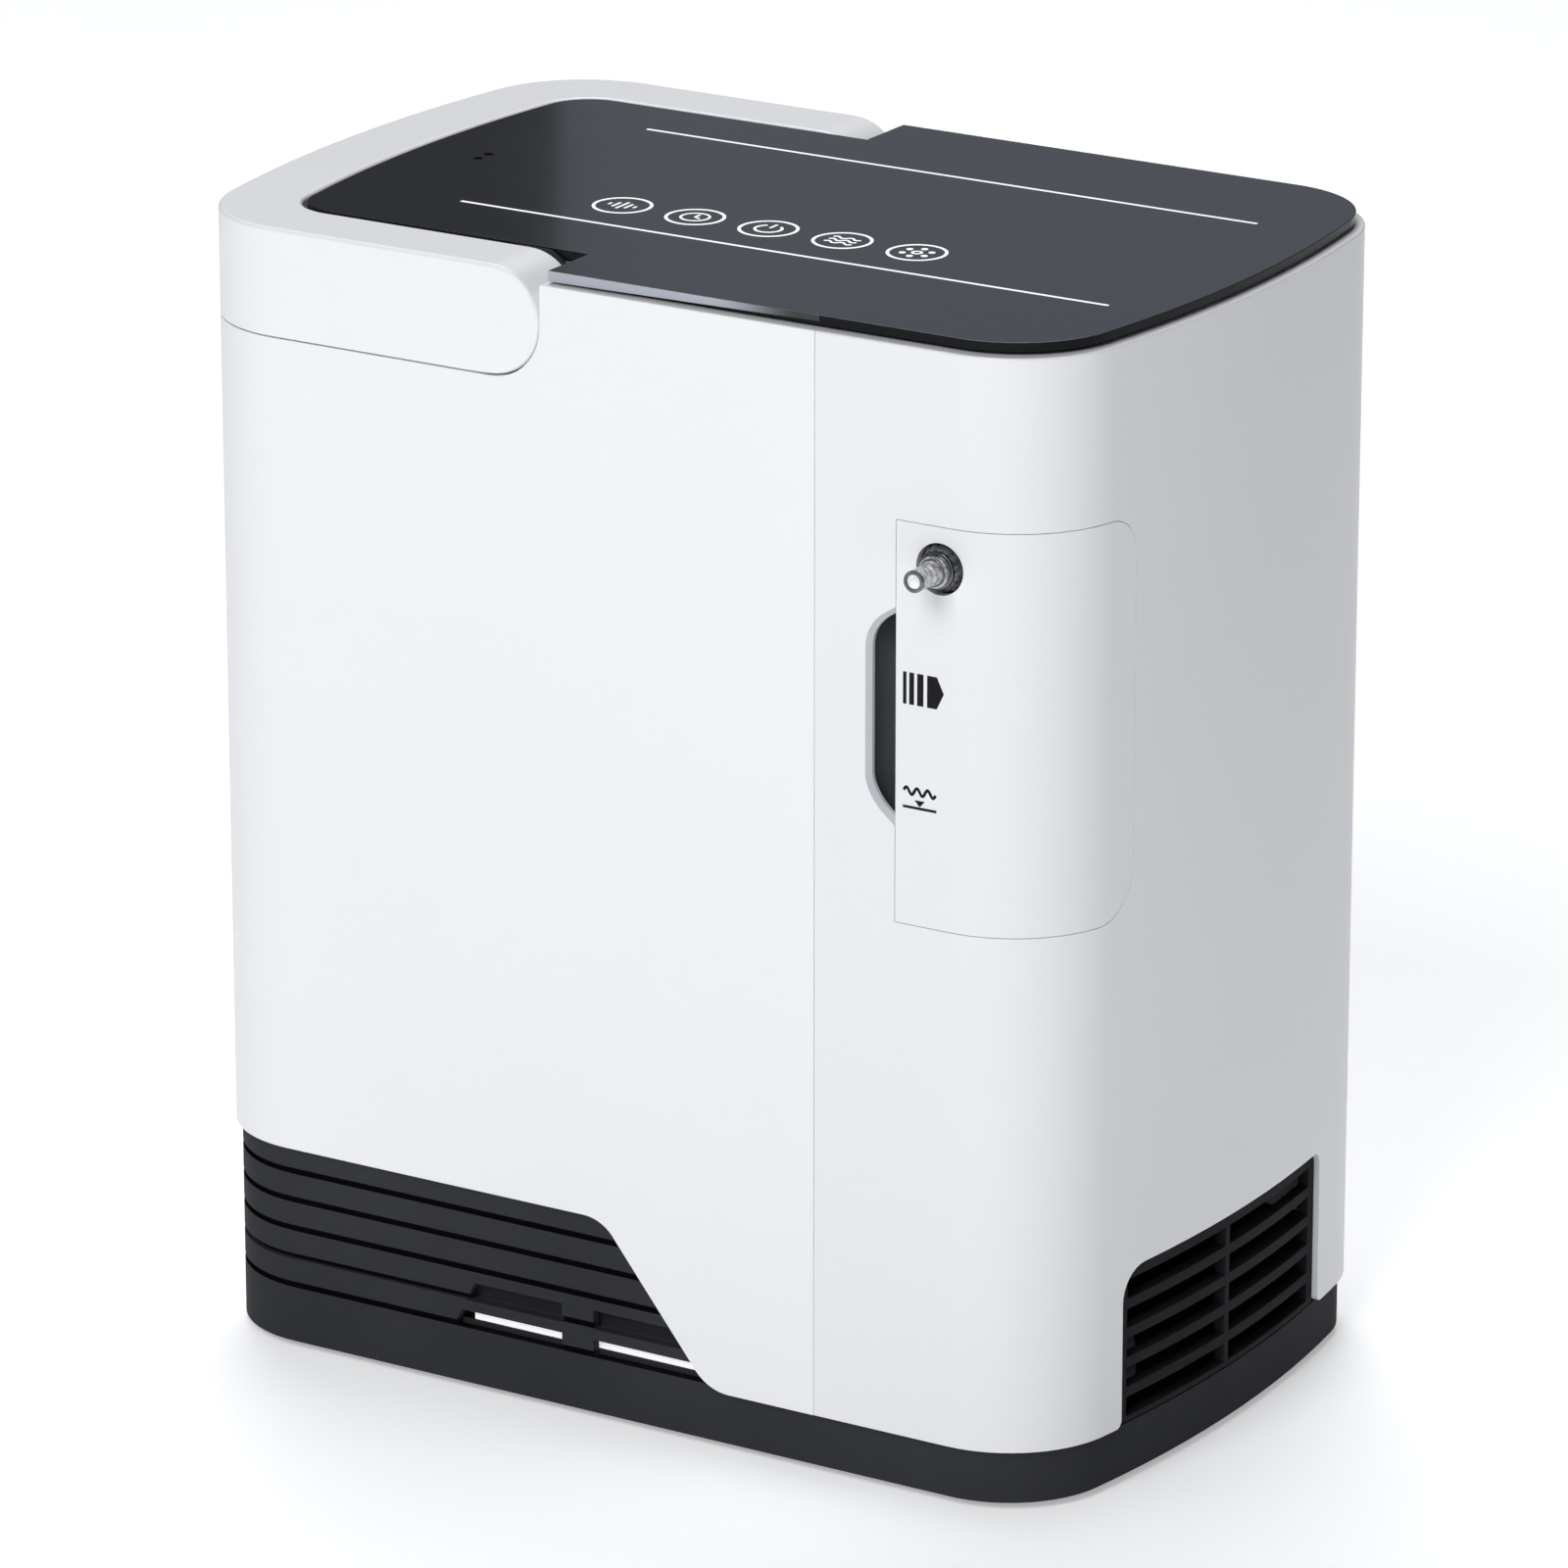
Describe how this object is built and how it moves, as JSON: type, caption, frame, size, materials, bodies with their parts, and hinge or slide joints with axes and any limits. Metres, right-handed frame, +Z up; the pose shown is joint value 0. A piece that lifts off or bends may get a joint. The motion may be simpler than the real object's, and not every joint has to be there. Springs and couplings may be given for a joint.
{
  "type": "oxygen concentrator",
  "caption": "Box-shaped home oxygen concentrator with rounded corners, a vented base, a touch glass top, a swing-up U handle and a slide-out humidifier cup with an outlet spigot.",
  "frame": {"origin": "middle of the overall length and width, on the floor under the rubber feet; the overall width runs from the outlet's tip to the reset button, so the cabinet's own middle plane lies at Y = +0.005", "axes": "+Z up; -Y is the large front face with the outlet; +X is the narrow end with the humidifier cup and the side grille"},
  "size_m": [0.335, 0.2384, 0.3767],
  "materials": {
    "white_gloss": "gloss",
    "black_satin": "satin",
    "touch_glass": "polished",
    "clear_plastic": "clear",
    "dark_grey_plastic": "fine texture",
    "rubber": "matt",
    "steel": "brushed",
    "cast_aluminium": "cast",
    "motor_laminations": "varnished",
    "copper_tube": "bright",
    "canister": "satin",
    "light_plastic": "matt",
    "red_plastic": "gloss",
    "circuit_board": "solder mask",
    "blue_plastic": "satin",
    "silicone_hose": "satin",
    "wire_insulation": "satin"
  },
  "bodies": {
    "cabinet": {"shell_left": "white_gloss", "shell_right": "white_gloss", "base_tray": "black_satin", "side_grille": "black_satin", "exhaust_deflector": "white_gloss", "rubber_feet": "rubber", "base_screws": "steel", "panel_spacer": "black_satin", "top_glass": "touch_glass", "touch_board": "circuit_board", "buzzer": "black_satin", "handle_pivots": "black_satin", "bay_liner": "dark_grey_plastic", "intake_cartridge": "light_plastic", "power_inlet": "black_satin", "inlet_pins": "steel", "breaker_body": "black_satin", "partition": "light_plastic", "compressor_plate": "steel", "compressor_mounts": "rubber", "motor_housing": "cast_aluminium", "motor_stator": "motor_laminations", "shaft_bearings": "steel", "crankcases": "cast_aluminium", "pistons": "cast_aluminium", "cylinders": "steel", "cylinder_heads": "cast_aluminium", "fan_frame": "black_satin", "cooling_coil": "copper_tube", "sieve_beds": "canister", "bed_caps": "black_satin", "bed_bracket": "steel", "valve_manifold": "cast_aluminium", "solenoids": "black_satin", "oxygen_tank": "light_plastic", "pressure_regulator": "cast_aluminium", "oxygen_sensor": "blue_plastic", "exhaust_muffler": "black_satin", "top_shelf": "cast_aluminium", "power_supply": "cast_aluminium", "run_capacitor": "light_plastic", "main_board": "circuit_board", "ion_generator": "black_satin", "air_hoses": "silicone_hose", "oxygen_hoses": "silicone_hose", "wiring": "wire_insulation"},
    "handle": {"handle": "white_gloss"},
    "humidifier": {"cup_cover": "white_gloss", "cup_bottle": "clear_plastic", "cup_lid": "clear_plastic", "outlet_nozzle": "clear_plastic", "cup_seal": "rubber"},
    "filter_door": {"filter_door": "white_gloss", "foam_filter": "rubber"},
    "reset_button": {"reset_button": "red_plastic"},
    "fan_rotor": {"fan_rotor": "black_satin"},
    "compressor_shaft": {"motor_rotor": "steel", "drive_shaft": "steel", "counterweights": "steel", "shaft_fans": "black_satin"}
  },
  "joints": [
    {"name": "handle_swing", "type": "hinge", "parent": "cabinet", "child": "handle", "pos_m": [-0.042, 0.005, 0.3593], "axis": [0, 1, 0], "range_deg": [0, 90]},
    {"name": "humidifier_slide", "type": "slide", "parent": "cabinet", "child": "humidifier", "axis": [1, 0, 0], "range_m": [0, 0.08]},
    {"name": "filter_door_slide", "type": "slide", "parent": "cabinet", "child": "filter_door", "axis": [0, 1, 0], "range_m": [0, 0.025]},
    {"name": "reset_press", "type": "slide", "parent": "cabinet", "child": "reset_button", "axis": [0, -1, 0], "range_m": [0, 0.003], "stiffness_N_per_m": 600},
    {"name": "fan_spin", "type": "hinge", "parent": "cabinet", "child": "fan_rotor", "pos_m": [-0.05, 0.005, 0.212], "axis": [0, 0, 1], "continuous": true},
    {"name": "compressor_spin", "type": "hinge", "parent": "cabinet", "child": "compressor_shaft", "pos_m": [-0.05, 0.005, 0.088], "axis": [1, 0, 0], "continuous": true}
  ]
}
